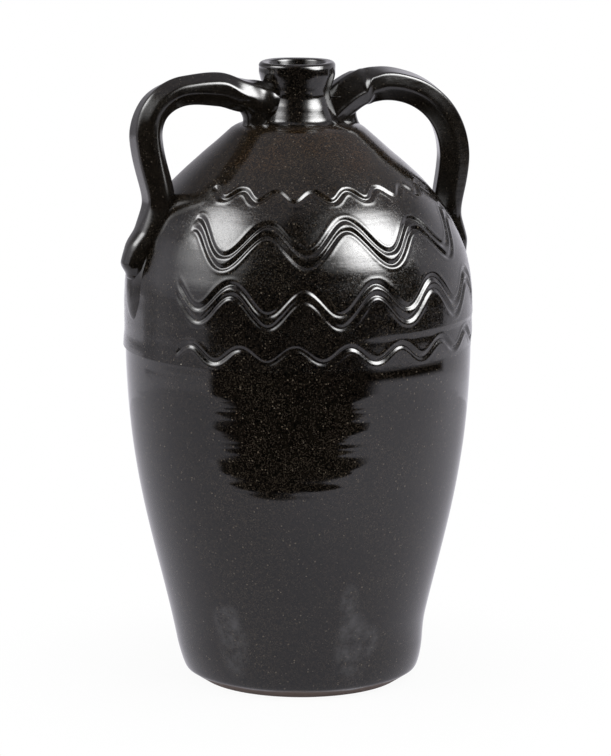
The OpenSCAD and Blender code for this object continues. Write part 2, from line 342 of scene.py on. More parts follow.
def noise(tree, place, scale, detail, roughness=0.5):
    """Soft noise, in features per metre."""
    return node(
        tree, "ShaderNodeTexNoise",
        {"Vector": place, "Scale": scale, "Detail": detail, "Roughness": roughness},
    ).outputs["Fac"]


black_glaze = (0.0070, 0.0053, 0.0040, 1)
olive_glaze = (0.0112, 0.0088, 0.0064, 1)
brown_glaze = (0.0170, 0.0116, 0.0067, 1)
rusty_glaze = (0.0265, 0.0150, 0.0073, 1)
milky_glaze = (0.0600, 0.0585, 0.0600, 1)
speck_tan = (0.120, 0.100, 0.075, 1)
speck_pale = (0.42, 0.39, 0.33, 1)
bare_clay = (0.100, 0.068, 0.052, 1)
clay_rough = 0.8
glaze_ior = 1.5
# Noise in the glaze: features per metre, layers and their roughness, and the range in which each shows
cloud_noise = (32, 4, 0.6)
cloud_range = (0.35, 0.7)
patch_noise = (18, 3, 0.6)
patch_range = (0.5, 0.75)
milk_noise = (140, 4, 0.65)
milk_range = (0.3, 0.75)
gloss_noise = (90, 4)
gloss_range = (0.3, 0.75)
noise_middle = 0.5
thin_wander = 0.03
clay_wander = 0.004
# Grains of the glaze and specks in it: cells per metre, share of the cells without one and size in a cell
grain_scale = 1900
grain_power = 2.0
grain_gain = 3.0
brown_grain_share = 0.8
matt_range = (0.5, 1.0)
fine_specks = (900, 0.78, 0.42)
large_specks = (300, 0.93, 0.11)
# Relief of the glaze: orange skin, marks drawn out round the jug, grit and pits
skin_noise = (420, 3)
skin_share = 0.20
drawn_noise = (60, 2)
drawn_scale = (1, 1, 9)
drawn_share = 0.28
grit_noise = (1000, 1)
grit_share = 0.06
pit_scale = 75
pit_range = (0.02, 0.05)
pit_rare = 0.86
bump_strength = 0.5
bump_depth = 0.0003
# Heights out of the jug's reach, for a glaze that is nowhere thin or nowhere worn off
far_above = (1.0, 1.1)
far_below = (-2.0, -1.0)


def speckled(tree, place, scale, rare, size):
    """A share that is bright in small round specks, each in its own cell."""
    cells = node(tree, "ShaderNodeTexVoronoi", {"Vector": place, "Scale": scale})
    chance = node(tree, "ShaderNodeSeparateColor", {"Color": cells.outputs["Color"]}).outputs
    chosen = calc(tree, "GREATER_THAN", chance["Red"], rare)
    reach = calc(tree, "MULTIPLY", chance["Green"], size)
    inside = calc(tree, "LESS_THAN", cells.outputs["Distance"], reach)
    return calc(tree, "MULTIPLY", chance["Blue"], calc(tree, "MULTIPLY", chosen, inside))


def shaded(tree, colour, grain, share):
    """A colour made lighter and darker from grain to grain, by a share."""
    strength = calc(tree, "MULTIPLY", calc(tree, "POWER", grain, grain_power), grain_gain)
    strength = between(tree, share, 1.0, strength)
    return node(tree, "ShaderNodeVectorMath", {0: colour, 3: strength}, operation="SCALE").outputs["Vector"]


def glaze_colour(tree, place, height, clouds, grain, thin, specks):
    """Colour of the glaze: dark, browner over the thin heights, milky in its runs, with grains and specks."""
    patches = noise(tree, place, *patch_noise)
    dark = mixed(tree, soft_range(tree, clouds, *cloud_range), black_glaze, olive_glaze)
    dark = shaded(tree, dark, grain, specks)
    brown = mixed(tree, soft_range(tree, patches, *patch_range), brown_glaze, rusty_glaze)
    brown = shaded(tree, brown, grain, brown_grain_share * specks)
    thin_height = calc(tree, "ADD", height, calc(tree, "MULTIPLY", clouds, thin_wander))
    colour = mixed(tree, soft_range(tree, thin_height, *thin), dark, brown)
    milk = node(tree, "ShaderNodeAttribute", attribute_name="thick_glaze").outputs["Fac"]
    milk_clouds = soft_range(tree, noise(tree, place, *milk_noise), *milk_range)
    colour = mixed(tree, calc(tree, "MULTIPLY", milk, milk_clouds), colour, milky_glaze)
    for kind, speck_colour in ((fine_specks, speck_tan), (large_specks, speck_pale)):
        speck_share = calc(tree, "MULTIPLY", speckled(tree, place, *kind), specks)
        colour = mixed(tree, speck_share, colour, speck_colour)
    return colour


def glaze_skin(tree, place):
    """Height of the glaze's skin, with its drawn marks, grit and pits."""
    drawn = node(tree, "ShaderNodeMapping", {"Vector": place, "Scale": drawn_scale}).outputs["Vector"]
    drawn_marks = calc(tree, "MULTIPLY", noise(tree, drawn, *drawn_noise), drawn_share)
    grit = calc(tree, "MULTIPLY", noise(tree, place, *grit_noise), grit_share)
    pits = node(tree, "ShaderNodeTexVoronoi", {"Vector": place, "Scale": pit_scale})
    pit_chance = node(tree, "ShaderNodeSeparateColor", {"Color": pits.outputs["Color"]}).outputs["Blue"]
    pit_hole = soft_range(tree, pits.outputs["Distance"], *pit_range, -1.0, 0.0)
    pit_hole = calc(tree, "MULTIPLY", pit_hole, calc(tree, "GREATER_THAN", pit_chance, pit_rare))
    skin = calc(tree, "MULTIPLY", noise(tree, place, *skin_noise), skin_share)
    for layer in (drawn_marks, grit, pit_hole):
        skin = calc(tree, "ADD", skin, layer)
    return skin


def glaze(name, rough, uneven, matt_grain, thin=far_above, clay=far_below, specks=1.0):
    """Dark ash glaze with tan specks, browner over the thin heights and worn to clay under the clay heights.

    Rough is the range of its roughness, uneven the strength of its relief, matt_grain the roughness that
    single grains add, and specks how strongly grains and specks show.
    """
    material = bpy.data.materials.new(name)
    material.use_nodes = True
    tree = material.node_tree
    shader = tree.nodes["Principled BSDF"]
    place = tree.nodes.new("ShaderNodeTexCoord").outputs["Object"]
    height = node(tree, "ShaderNodeSeparateXYZ", {"Vector": place}).outputs["Z"]
    clouds = noise(tree, place, *cloud_noise)
    grains = node(tree, "ShaderNodeTexVoronoi", {"Vector": place, "Scale": grain_scale})
    grain_parts = node(tree, "ShaderNodeSeparateColor", {"Color": grains.outputs["Color"]}).outputs
    colour = glaze_colour(tree, place, height, clouds, grain_parts["Red"], thin, specks)
    edge_wander = calc(tree, "MULTIPLY", calc(tree, "SUBTRACT", clouds, noise_middle), clay_wander)
    bare = soft_range(tree, calc(tree, "ADD", height, edge_wander), *clay, 1.0, 0.0)
    tree.links.new(mixed(tree, bare, colour, bare_clay), shader.inputs["Base Color"])
    gloss = soft_range(tree, noise(tree, place, *gloss_noise), *gloss_range, *rough)
    matt = soft_range(tree, grain_parts["Green"], *matt_range, 0.0, matt_grain)
    gloss = calc(tree, "ADD", gloss, matt)
    tree.links.new(between(tree, bare, gloss, clay_rough), shader.inputs["Roughness"])
    shader.inputs["IOR"].default_value = glaze_ior
    relief = {"Height": glaze_skin(tree, place), "Strength": bump_strength * uneven, "Distance": bump_depth}
    bump = node(tree, "ShaderNodeBump", relief)
    tree.links.new(bump.outputs["Normal"], shader.inputs["Normal"])
    return material


def dressed(piece, material, slot, *nodes):
    """Gives a finished piece its material, hangs it under the root body and hides the solids that it stands
    for. The slot is not used.
    """
    piece.data.materials.append(material)
    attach(piece, "root")
    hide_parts(*nodes)


lower_glaze = glaze("lower_glaze", rough=(0.04, 0.08), uneven=0.18, matt_grain=0.02, clay=(0.0030, 0.0058))
dressed(lower_section, lower_glaze, "lower_glaze", "lower_body")

# Upper section of the body.
# Belly and shoulder, thrown as a second ring and joined on, which leaves a soft step on the left.
# Waves were drawn into its soft front with a blunt comb, whose teeth push up a burr beside each line.
upper_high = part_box("upper_body")[1]
relief_room = 0.0002
belly_r = upper_high.y - relief_room
belly_h = 0.021
belly_z = seam_z + belly_h
seat_z = upper_high.z
seat_r = 0.0275
shoulder_open_r = 0.017
shoulder_shares = [(1, 0), (1, 0.54), (0.45, 0.72), (0, 1)]
dome_start_r = 0.0345
dome_drop = 0.0024
dome_top = (0.0200, seat_z - dome_drop)
dome_lead = 0.005
dome_flat_w = 0.006
dome_flat_drop = 0.0002
panel_spacing = 0.00052
plain_spacing = 0.0016
panel_top_drop = 0.025
panel_turn = 132
panel_columns = 340
back_columns = 70

shoulder_corners = spread(shoulder_shares, seat_r, belly_r, belly_z, seat_z)
shoulder_line = curve_line(shoulder_corners)


def wall_speed(share):
    """Length of wall for a whole share of the shoulder curve, at places along it."""
    t = np.maximum(share, 0)[..., None]
    a, b, c, d = (np.array(corner) for corner in shoulder_corners)
    slope = (1 - t) ** 2 * (b - a) + 2 * t * (1 - t) * (c - b) + t ** 2 * (d - c)
    return 3 * np.linalg.norm(slope, axis=-1)


belly_speed = float(wall_speed(np.array(0.0)))
kept_line = shoulder_line[shoulder_line[:, 0] > dome_start_r]
dome_way = line_directions(kept_line)[-1]
dome = [
    kept_line[-1],
    kept_line[-1] + dome_lead * dome_way,
    (dome_top[0] + dome_flat_w, dome_top[1] - dome_flat_drop),
    dome_top,
]
belly_line = straight((belly_r, seam_z), (belly_r, belly_z), plain_spacing)
body_line = joined(belly_line, kept_line, curve_line(dome))
panel_line = body_line[body_line[:, 1] <= seat_z - panel_top_drop]
plain_line = body_line[len(panel_line):]
upper_outer = joined(evenly(panel_line, panel_spacing), evenly(plain_line, plain_spacing))
inner_belly = straight((belly_r - wall_t, seam_z), (belly_r - wall_t, belly_z), plain_spacing)
upper_inner = evenly(joined(inner_belly, beside(shoulder_line, wall_t)), 2 * inner_spacing)
upper_outline = joined(
    upper_outer,
    np.array([[shoulder_open_r, dome_top[1]]]),
    upper_inner[::-1],
)
upper_turns = [(panel_turn, panel_columns), (360 - panel_turn, back_columns)]
upper_section = thrown("upper_section", upper_outline, upper_turns)

upper_rings = [
    (0.0195, 0.00006, 1, 0.18),
    (0.0093, 0.00003, 1, 0.19),
    (0.041, 0.00012, 0, 0.20),
]
ring_fade_h = 0.02
# Combed waves: place up the shoulder curve, swing, waves in a whole turn, start in degrees and lines.
# The lowest wave lies under the curve, on the straight belly.
wave_swing = 0.0085
low_wave_drop = 0.62 * belly_h
low_wave_swing = 0.17 * belly_h
waves = [
    (0.566, 0.35 * wave_swing, 22, 23, 1),
    (0.328, wave_swing, 12, 109, 2),
    (0.080, 0.8 * wave_swing, 15, 0, 2),
    (-low_wave_drop / belly_speed, low_wave_swing, 20, 149, 1),
]
wander_count = 5
wander_share = 0.15
press_count = 7
press_shift = 3
press_change = 0.2
comb_gap = 0.006
groove_half_w = 0.00112
groove_depth = 0.0010
burr_h = 0.00022
burr_far = 2.1 * groove_half_w
burr_half_w = 0.8 * groove_half_w
panel_end = radians(61)
panel_fade = radians(2.5)
# The upper section stands out over the joint on the left and lies back on the right
seam_back_turn = radians(70)
seam_step_h = 0.008
seam_overhang = 0.0008
seam_left_share = 1.2
# A soft ridge across the right side of the belly, steep below and fading upwards
ridge_rise = 0.0148
ridge_tilt = 0.001
ridge_half_h = 0.0018
ridge_back_h = 0.016
ridge_step = 0.00042
ridge_side = (-0.25, 0.35)
ridge_shift = 0.1


def combed(turn, height, outer_r):
    """Grooves and burrs of the combed waves."""
    curve_share = np.interp(height, shoulder_line[:, 1], np.linspace(0, 1, len(shoulder_line)))
    share = np.where(height < belly_z, (height - belly_z) / belly_speed, curve_share)
    speed = wall_speed(share)
    relief = np.zeros_like(turn)
    for place, swing, count, degrees, lines in waves:
        start = radians(degrees)
        wave = count * turn + start
        wander = wander_count * turn + start
        rise = swing * (np.sin(wave) + wander_share * np.sin(wander))
        steep = swing * (count * np.cos(wave) + wander_share * wander_count * np.cos(wander)) / outer_r
        press = 1 - press_change + press_change * np.sin(press_count * turn + press_shift * start)
        for i in range(lines):
            gap = (i - (lines - 1) / 2) * comb_gap
            line_share = place + (rise + gap) / wall_speed(np.array(place))
            apart = np.abs(share - line_share) * speed / np.sqrt(1 + steep ** 2)
            relief -= groove_depth * press * np.exp(-((apart / groove_half_w) ** 2))
            relief += burr_h * press * np.exp(-(((apart - burr_far) / burr_half_w) ** 2))
    return relief * smooth_step(panel_end + panel_fade, panel_end, np.abs(turn))


def upper_relief(turn, height, outer_r):
    """Rings, seam step, ridge and combed waves of the upper section."""
    relief = throwing_rings(turn, height, upper_rings) * smooth_step(seat_z, seat_z - ring_fade_h, height)
    left_share = 0.5 - 0.5 * np.cos(turn - seam_back_turn)
    near_seam = smooth_step(seam_z + seam_step_h, seam_z, height)
    relief = relief + (seam_overhang * (left_share * seam_left_share - 1.0) + relief_room) * near_seam
    ridge_line = seam_z + ridge_rise + ridge_tilt * np.sin(turn)
    ridge = smooth_step(-ridge_half_h, ridge_half_h, height - ridge_line)
    ridge = ridge * smooth_step(ridge_line + ridge_back_h, ridge_line, height)
    relief = relief + ridge_step * ridge * smooth_step(*ridge_side, np.sin(turn + ridge_shift))
    return relief + combed(turn, height, outer_r)


worked(upper_section, upper_outer, upper_relief)
# The glaze thins out to brown up the shoulder
upper_thin = (seat_z - 0.037, seat_z + 0.003)
upper_glaze = glaze("upper_glaze", rough=(0.08, 0.16), uneven=1.0, matt_grain=0.15, thin=upper_thin)
dressed(upper_section, upper_glaze, "upper_glaze", "upper_body")

# Slip in the joint between the two sections.
# A thin ring of wet clay brushed into the groove of the lower rim before the upper ring was set on.
# It was fired with the jug and stays unglazed inside the joint.
slip_clay = glaze("slip_clay", rough=(0.7, 0.9), uneven=1.0, matt_grain=0.0, clay=far_above)
slip_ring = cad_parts["seam_slip"]
slip_ring.data.materials.clear()
slip_ring.data.materials.append(slip_clay)

# Neck and lip.
# A narrow collar thrown on the shoulder's opening, drawn in at the waist and rolled over into an upright rim.
neck_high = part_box("neck_collar")[1]
rim_z = neck_high.z
waist_r = 0.0159
rim_r = 0.0192
rim_h = 0.006
rim_lean_r = 0.0008
rim_lean_h = 0.0058
lip_round = 0.0021
lip_lean = 0.0005
mouth_r = 0.012
rim_top_r = 0.0150
rim_dish = 0.0003
rim_edge_round = 0.0010
throat_depth = 0.010
skirt_r = 0.0245
skirt_sink = 0.0004
skirt_run = 0.0024
skirt_rise = 0.0003
bore_sink = 0.003
under_skirt = 0.002
cone_low = (0.0199, seat_z + 0.0002)
cone_high = (0.0164, seat_z + 0.0098)
cone_foot_share = 0.16
cone_top_share = 0.34
neck_spacing = 0.0006
throat_spacing = 0.001
bore_spacing = 0.002
under_spacing = 0.003
neck_columns = 160
quarter_points = 40

quarter = np.linspace(0, tau / 4, quarter_points)
skirt_z = np.interp(-skirt_r, -body_line[:, 0], body_line[:, 1]) - skirt_sink
cone_rise = np.array(cone_high) - cone_low
rim_low_z = rim_z - rim_h
neck_foot = [
    (skirt_r, skirt_z),
    (skirt_r - skirt_run, skirt_z + skirt_rise),
    cone_low - cone_foot_share * cone_rise,
    cone_low,
]
neck_rise = [
    cone_high,
    cone_high + cone_top_share * cone_rise,
    (rim_r - rim_lean_r, rim_low_z - rim_lean_h),
    (rim_r, rim_low_z),
]
neck_outer = evenly(joined(
    curve_line(neck_foot),
    straight(cone_low, cone_high, neck_spacing),
    curve_line(neck_rise),
    straight((rim_r, rim_low_z), (rim_r, rim_z - lip_round), neck_spacing),
), neck_spacing)
lip_line = np.stack([
    rim_r - lip_round + lip_round * np.cos(quarter),
    rim_z - lip_round + lip_round * np.sin(quarter),
], axis=1)
edge_line = np.stack([
    rim_top_r - rim_edge_round * np.sin(quarter),
    rim_z - rim_dish - rim_edge_round * (1 - np.cos(quarter)),
], axis=1)
throat_end = (mouth_r, rim_z - throat_depth)
bore_end = (mouth_r, skirt_z - bore_sink)
neck_outline = joined(
    neck_outer,
    evenly(joined(lip_line, edge_line), neck_spacing),
    straight(edge_line[-1], throat_end, throat_spacing),
    straight(throat_end, bore_end, bore_spacing),
    straight(bore_end, (skirt_r - under_skirt, skirt_z - under_skirt), under_spacing),
)
neck = thrown("neck_and_lip", neck_outline, [(360, neck_columns)])

# Unevenness of the hand-rolled rim and dips of its lip: size, waves in a whole turn and start
rim_waves = [(0.0002, 2, 1.0), (0.00012, 5, 0.3)]
lip_dips = [(0.0004, 1, 2.0), (0.0002, 3, 0.0)]
neck_rings = [(0.0052, 0.00003, 1, 0)]
neck_fade_h = 0.006


def neck_relief(turn, height, outer_r):
    """Unevenness and rings of the neck above its seat."""
    rolled = sum(size * np.sin(count * turn + start) for size, count, start in rim_waves)
    rings = throwing_rings(turn, height, neck_rings)
    return (rolled + rings) * smooth_step(seat_z, seat_z + neck_fade_h, height)


worked(neck, neck_outer, neck_relief)
neck_places = get_places(neck)
neck_turn = turn_and_radius(neck_places)[0]
lip_dip = sum(size * (1 + np.sin(count * neck_turn + start)) / 2 for size, count, start in lip_dips)
neck_places[:, 2] -= lip_dip * smooth_step(rim_low_z, rim_z, neck_places[:, 2])
neck_places[:, 0] -= lip_lean * smooth_step(cone_low[1], rim_z, neck_places[:, 2])
set_places(neck, neck_places)
neck_glaze = glaze("neck_glaze", rough=(0.08, 0.17), uneven=1.0, matt_grain=0.08)
dressed(neck, neck_glaze, "neck_glaze", "neck_collar")

# Strap handles.
# Two straps pulled from lumps of clay, bent over while soft and pressed onto the neck and the shoulder.
# Pulling leaves flat faces with soft ridges between them, and no two straps come out alike.
strap_rows = 220
strap_sides = 120
route_spacing = 0.0005
bend_points = 12
landing_points = 26
tail_points = 30
share_step = 0.001
root_share = 0.9
root_depth = 0.007
leg_lead_share = 0.35
land_lead_share = 0.14
tail_end_share = 0.10
tail_end_lift = -0.0005
# How crisp the ridges are: soft at the root, crisp from the end of the root to the leg, softest at the tail
root_crisp = 8
bend_crisp = 10
tail_crisp = 4
end_crisp = 3
bend_share = 0.4
leg_share = 0.7
tail_share = 0.85


def outward(way):
    """The direction out of the shoulder beside the way up it."""
    return np.array([way[1], -way[0]])


def shoulder_point(share):
    """A point of the shoulder's line and the way up it."""
    low = max(share - share_step, 0)
    points = curve_line(shoulder_corners, low, low + 2 * share_step, 3)
    way = points[2] - points[0]
    return points[1], way / np.linalg.norm(way)


def softened(line, reach):
    """The same line with its corners rounded off over a reach of points."""
    window = np.hanning(2 * reach + 1)
    window = window / window.sum()
    before = 2 * line[0] - line[reach:0:-1]
    after = 2 * line[-1] - line[-2:-reach - 2:-1]
    padded = np.concatenate([before, line, after])
    return np.stack([np.convolve(padded[:, i], window, mode="valid") for i in range(line.shape[1])], axis=1)


def strap_route(root_h, crown_h, corner_drop, leg_drop, reach, run_share, land_share, lift):
    """The middle line of a strap in radius and height: over the crown, down the leg and along the shoulder.

    Heights start at the neck's seat, and the lift is the line's height over the shoulder where it lands.
    """
    root = np.array([waist_r * root_share, seat_z + root_h])
    crown_z = seat_z + crown_h
    corner_z = crown_z - corner_drop
    run_r = root[0] + (reach - root[0]) * run_share
    leg_top = np.array([reach, corner_z - leg_drop])
    crown = curve_line([root, (run_r, crown_z), (reach, corner_z), leg_top])
    land, land_way = shoulder_point(land_share)
    land = land + lift * outward(land_way)
    leg_l = np.linalg.norm(land - leg_top)
    leg_lead = leg_top - (0, leg_lead_share * leg_l)
    land_lead = land + land_way * land_lead_share * leg_l
    leg = curve_line([leg_top, leg_lead, land_lead, land])
    tail = []
    for share in np.linspace(0, 1, tail_points):
        point, way = shoulder_point(land_share + (tail_end_share - land_share) * share)
        rise = lift + (tail_end_lift - lift) * share ** 3
        tail.append(point + rise * outward(way))
    inside = crown[0] - root_depth * line_directions(crown)[0]
    landed = softened(evenly(joined(leg, np.array(tail)), route_spacing), landing_points)
    return joined(inside[None], crown, landed)


def eased(shares, values, along):
    """Values set at a few shares of a way, with soft changes between them."""
    place = np.interp(along, shares, np.arange(len(shares)))
    low = np.minimum(np.floor(place), len(shares) - 2).astype(int)
    share = place - low
    share = share * share * (3 - 2 * share)
    values = np.array(values, float)
    return values[low] + (values[low + 1] - values[low]) * share


def rolled_bar(name, rows, sides, shape):
    """A flat sheet rolled up into a closed bar. Shape gives the points for shares along it and round it."""
    bpy.ops.object.select_all(action="DESELECT")
    bpy.ops.mesh.primitive_grid_add(x_subdivisions=rows, y_subdivisions=sides, size=2)
    bar = bpy.context.object
    bar.name = name
    flat = get_places(bar)
    set_places(bar, shape((flat[:, 0] + 1) / 2, (flat[:, 1] + 1) / 2))
    bpy.ops.object.mode_set(mode="EDIT")
    bpy.ops.mesh.select_all(action="SELECT")
    bpy.ops.mesh.remove_doubles(threshold=merge_gap)
    bpy.ops.mesh.select_all(action="SELECT")
    bpy.ops.mesh.fill_holes(sides=0)
    bpy.ops.mesh.select_all(action="SELECT")
    bpy.ops.mesh.normals_make_consistent(inside=False)
    bpy.ops.object.mode_set(mode="OBJECT")
    bpy.ops.object.shade_smooth()
    return bar


def strap(name, side, route, sections, facets, crisp, soft_root):
    """A pulled strap along its route.

    Each section has its share of the length, thickness, width, shift outward and twist in degrees, which
    turns the outer face towards the front. Facets are the turns of the flat faces from the outer face
    towards the front. The ridges are crisp from the share soft_root on.
    """
    shares, thick, wide, shift, twist = zip(*sections)
    line = softened(evenly(route, route_spacing), bend_points)
    ways = line_ways(line) / line_ways(line)[-1]
    direction = line_directions(line)
    crisp_shares = [0, bend_share * soft_root, soft_root, leg_share, tail_share, 1]
    crisp_values = [root_crisp, bend_crisp, crisp, crisp, tail_crisp, end_crisp]

    def shape(along, around):
        middle = np.stack([np.interp(along, ways, line[:, i]) for i in (0, 1)], axis=1)
        way = np.stack([np.interp(along, ways, direction[:, i]) for i in (0, 1)], axis=1)
        way /= np.linalg.norm(way, axis=1)[:, None]
        out = np.stack([-way[:, 1], way[:, 0]], axis=1)
        half_t = eased(shares, thick, along) / 2
        half_w = eased(shares, wide, along) / 2
        angle = tau * around
        spoke = np.stack([half_t * np.cos(angle), half_w * np.sin(angle)], axis=1)
        edge = eased(crisp_shares, crisp_values, along)
        press = np.zeros_like(along)
        for facet in np.radians(facets):
            reach = np.hypot(half_t * cos(facet), half_w * sin(facet))
            toward_facet = np.maximum(spoke[:, 0] * cos(facet) + spoke[:, 1] * sin(facet), 0)
            press += (toward_facet / reach) ** edge
        spoke = spoke / (press ** (1 / edge))[:, None]
        turned = np.radians(eased(shares, twist, along))
        across = spoke[:, 0] * np.cos(turned) - spoke[:, 1] * np.sin(turned) + eased(shares, shift, along)
        front = spoke[:, 0] * np.sin(turned) + spoke[:, 1] * np.cos(turned)
        radius = middle[:, 0] + across * out[:, 0]
        height = middle[:, 1] + across * out[:, 1]
        return np.stack([side * radius, -front, height], axis=1)

    return rolled_bar(name, strap_rows, strap_sides, shape)


left_route = strap_route(
    root_h=0.009, crown_h=0.021, corner_drop=0.003, leg_drop=0.025,
    reach=0.081, run_share=0.65, land_share=0.42, lift=0.0010,
)
left_sections = [
    (0, 0.0190, 0.0180, -0.0020, 46),
    (0.055, 0.0215, 0.0205, -0.0022, 44),
    (0.09, 0.0180, 0.0190, -0.0016, 33),
    (0.13, 0.0152, 0.0180, -0.0009, 18),
    (0.22, 0.0160, 0.0180, 0, -8),
    (0.33, 0.0136, 0.0185, -0.0005, -10),
    (0.45, 0.0130, 0.0190, -0.0010, 6),
    (0.55, 0.0130, 0.0195, -0.0006, 14),
    (0.74, 0.0126, 0.0205, -0.0004, 12),
    (0.84, 0.0122, 0.0240, -0.0008, 8),
    (0.90, 0.0130, 0.0250, 0.0010, 0),
    (0.945, 0.0120, 0.0225, 0.0020, 0),
    (0.98, 0.0080, 0.0170, 0.0006, 0),
    (1, 0.0015, 0.0080, 0, 0),
]
left_facets = [350, 42, 92, 134, 190, 255, 300]
left_strap = strap("left_strap", -1, left_route, left_sections, left_facets, crisp=18, soft_root=0.20)
right_route = strap_route(
    root_h=-0.002, crown_h=0.028, corner_drop=0.011, leg_drop=0.041,
    reach=0.084, run_share=0.27, land_share=0.32, lift=0.0012,
)
right_sections = [
    (0, 0.0180, 0.0200, 0, 44),
    (0.06, 0.0180, 0.0200, 0, 44),
    (0.12, 0.0164, 0.0200, 0, 44),
    (0.19, 0.0152, 0.0200, 0.0004, 42),
    (0.225, 0.0144, 0.0195, 0.0004, 6),
    (0.265, 0.0144, 0.0200, 0.0003, 0),
    (0.345, 0.0138, 0.0200, 0, 0),
    (0.52, 0.0138, 0.0205, 0, 0),
    (0.64, 0.0142, 0.0205, 0, 0),
    (0.82, 0.0135, 0.0205, 0, 0),
    (0.91, 0.0125, 0.0225, 0, 0),
    (0.965, 0.0085, 0.0220, 0, 0),
    (1, 0.0015, 0.0090, 0, 0),
]
right_facets = [10, 80, 128, 195, 262, 315]
right_strap = strap("right_strap", 1, right_route, right_sections, right_facets, crisp=20, soft_root=0.18)
handle_glaze = glaze("handle_glaze", rough=(0.12, 0.22), uneven=1.0, matt_grain=0.03, specks=0.5)
dressed(left_strap, handle_glaze, "handle_glaze", "left_handle")
dressed(right_strap, handle_glaze, "handle_glaze", "right_handle")

# Wads under the upper ends of the straps.
# Small lumps of soft clay thumbed into the corner between strap, neck and shoulder to carry the strap.
# They narrow at the waist where the thumb went round them.
wad_rows = 48
wad_sides = 56
wad_sink = 0.010
foot_wide_share = 0.55
top_wide_share = 0.12
flare_power = 3
lump_share = 0.03
lump_count = 3
thumb_count = 2
thumb_climb = 5


def wad(name, side, top_h, reach, half_deep, half_wide, foot_flare, top_flare, start):
    """A thumbed spool of clay from the shoulder up into the strap, which spreads out at both ends.

    Its top is at a height over the neck's seat, and it starts inside the shoulder.
    """
    low_z = seat_z - wad_sink
    high_z = seat_z + top_h

    def shape(along, around):
        angle = tau * around
        foot = foot_flare * (1 - along) ** flare_power
        top = top_flare * along ** flare_power
        lumps = lump_share * np.sin(lump_count * angle + start)
        thumbed = lump_share * np.sin(thumb_count * angle + thumb_climb * along)
        lumpy = 1 + lumps + thumbed
        deep = (half_deep + foot + top) * lumpy * np.cos(angle)
        wide = (half_wide + foot_wide_share * foot + top_wide_share * top) * lumpy * np.sin(angle)
        return np.stack([side * (reach + deep), wide, low_z + (high_z - low_z) * along], axis=1)

    return rolled_bar(name, wad_rows, wad_sides, shape)


left_wad = wad(
    "left_wad", -1, top_h=0.008, reach=0.0210, half_deep=0.0051, half_wide=0.0066,
    foot_flare=0.009, top_flare=0.011, start=0.5,
)
right_wad = wad(
    "right_wad", 1, top_h=0.010, reach=0.0225, half_deep=0.0063, half_wide=0.0068,
    foot_flare=0.008, top_flare=0.005, start=2.0,
)
dressed(left_wad, handle_glaze, "handle_glaze", "left_neck_wad")
dressed(right_wad, handle_glaze, "handle_glaze", "right_neck_wad")

# Pads over the lower ends of the straps.
# Flat lumps of clay pressed with the thumb over each strap's tail, so that it holds on the shoulder.
# The left one stands out as a knob on the outline.
pad_place_share = 0.15
pad_half_l = 0.026
pad_half_w = 0.014
pad_sink = 0.006
pad_segments = 56
pad_rings = 40
dent_share = 0.08
dent_count = 5


def pad(name, side, pad_h, start):
    """A long flat lump sunk into the shoulder and bent round it, dented by the thumb."""
    bpy.ops.object.select_all(action="DESELECT")
    bpy.ops.mesh.primitive_uv_sphere_add(segments=pad_segments, ring_count=pad_rings, radius=1)
    lump = bpy.context.object
    lump.name = name
    ball = get_places(lump)
    point, way = shoulder_point(pad_place_share)
    out = outward(way)
    dent = dent_share * (1 + np.sin(dent_count * ball[:, 2] + start)) / 2 * np.maximum(ball[:, 0], 0)
    across = ball[:, 0] * (1 - dent) * (pad_h + pad_sink) - pad_sink
    across = across - ball[:, 1] ** 2 * pad_half_w ** 2 / (2 * belly_r)
    length = ball[:, 2] * pad_half_l
    radius = point[0] + across * out[0] + length * way[0]
    height = point[1] + across * out[1] + length * way[1]
    set_places(lump, np.stack([side * radius, ball[:, 1] * pad_half_w, height], axis=1))
    if side < 0:
        bpy.ops.object.mode_set(mode="EDIT")
        bpy.ops.mesh.select_all(action="SELECT")
        bpy.ops.mesh.normals_make_consistent(inside=False)
        bpy.ops.object.mode_set(mode="OBJECT")
    bpy.ops.object.shade_smooth()
    return lump


left_pad = pad("left_pad", -1, pad_h=0.0030, start=0.3)
right_pad = pad("right_pad", 1, pad_h=0.0028, start=1.2)
dressed(left_pad, handle_glaze, "handle_glaze", "left_tail_pad")
dressed(right_pad, handle_glaze, "handle_glaze", "right_tail_pad")

# Table.
# A round white table top that the jug stands on. Its front is cut away in steps, and the dark room
# beyond it shows in the glaze. Steps are places to the right of the jug and in front of it.
view_turn = radians(-20)
toward = Vector((sin(view_turn), -cos(view_turn), 0))
rightward = Vector((cos(view_turn), sin(view_turn), 0))
table_r = 0.69
cut_left = radians(-60)
cut_right = radians(47.5)
cut_left_steps = [(-0.353, 0.435), (-0.455, 0.263), (-0.240, 0.320), (-0.334, 0.187)]
cut_right_steps = [(0.275, 0.266), (0.162, 0.369), (0.383, 0.358), (0.305, 0.473)]
cut_front = 0.270
table_points = 72
pure_white = (1, 1, 1, 1)
table_white = (0.9, 0.9, 0.9, 1)
mirror_tint = (0.94, 0.92, 1, 1)
# The table is painted a little darker round the jug as a contact shadow, and its mirror image is painted
# brighter to the right and the front
shade_span = (0.05, 0.20)
shade_level = 0.94
bright_right = 0.77
bright_front = 0.64
mirror_span = (0.02, 0.30)
painted_mirror_levels = (0.84, 1.12)

table_turns = np.linspace(cut_right, tau + cut_left, table_points)
table_edge = [(table_r * sin(turn), table_r * cos(turn)) for turn in table_turns]
table_edge += cut_left_steps + [(0, cut_front)] + cut_right_steps
bpy.ops.object.select_all(action="DESELECT")
bpy.ops.mesh.primitive_circle_add(vertices=len(table_edge), fill_type="NGON")
table = bpy.context.object
table.name = "table_top"
for vertex, (across, depth) in zip(table.data.vertices, table_edge):
    vertex.co = rightward * across + toward * depth


